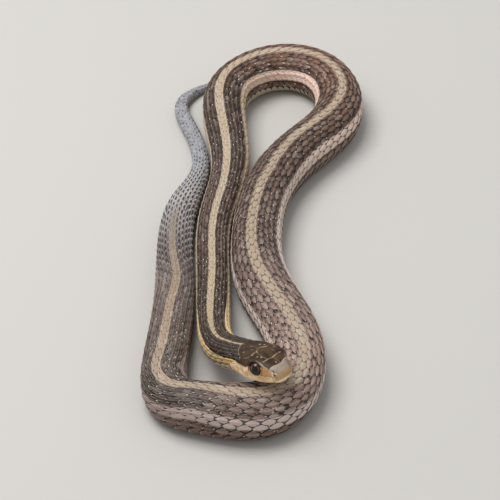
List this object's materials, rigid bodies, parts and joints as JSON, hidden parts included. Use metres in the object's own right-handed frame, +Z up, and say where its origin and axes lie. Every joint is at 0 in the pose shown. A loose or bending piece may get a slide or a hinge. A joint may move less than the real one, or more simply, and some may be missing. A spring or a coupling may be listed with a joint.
{
  "type": "garter snake model",
  "caption": "Life-size still model of a garter snake lying in a loose open coil, its chin resting over a bend of its own body.",
  "frame": {"origin": "on the floor, under the middle of the bounding box of the coiled snake", "axes": "+Z up, +Y along the long side of the coil, from the head's end towards the open loop, +X to the right of a viewer who looks along +Y"},
  "size_m": [0.0793, 0.2074, 0.0274],
  "materials": {
    "scaled_skin": "satin, keeled overlapping scales",
    "head_plates": "glossy smooth plates",
    "eye": "wet gloss"
  },
  "bodies": {
    "root": {"eye_right": "eye", "eye_left": "eye", "head": "head_plates", "lower_jaw": "head_plates", "neck": "scaled_skin", "trunk_1": "scaled_skin", "trunk_2": "scaled_skin", "trunk_3": "scaled_skin", "trunk_4": "scaled_skin", "trunk_5": "scaled_skin", "trunk_6": "scaled_skin", "trunk_7": "scaled_skin", "trunk_8": "scaled_skin", "trunk_9": "scaled_skin", "trunk_10": "scaled_skin", "trunk_11": "scaled_skin", "tail_1": "scaled_skin", "tail_2": "scaled_skin", "tail_3": "scaled_skin"}
  },
  "joints": []
}
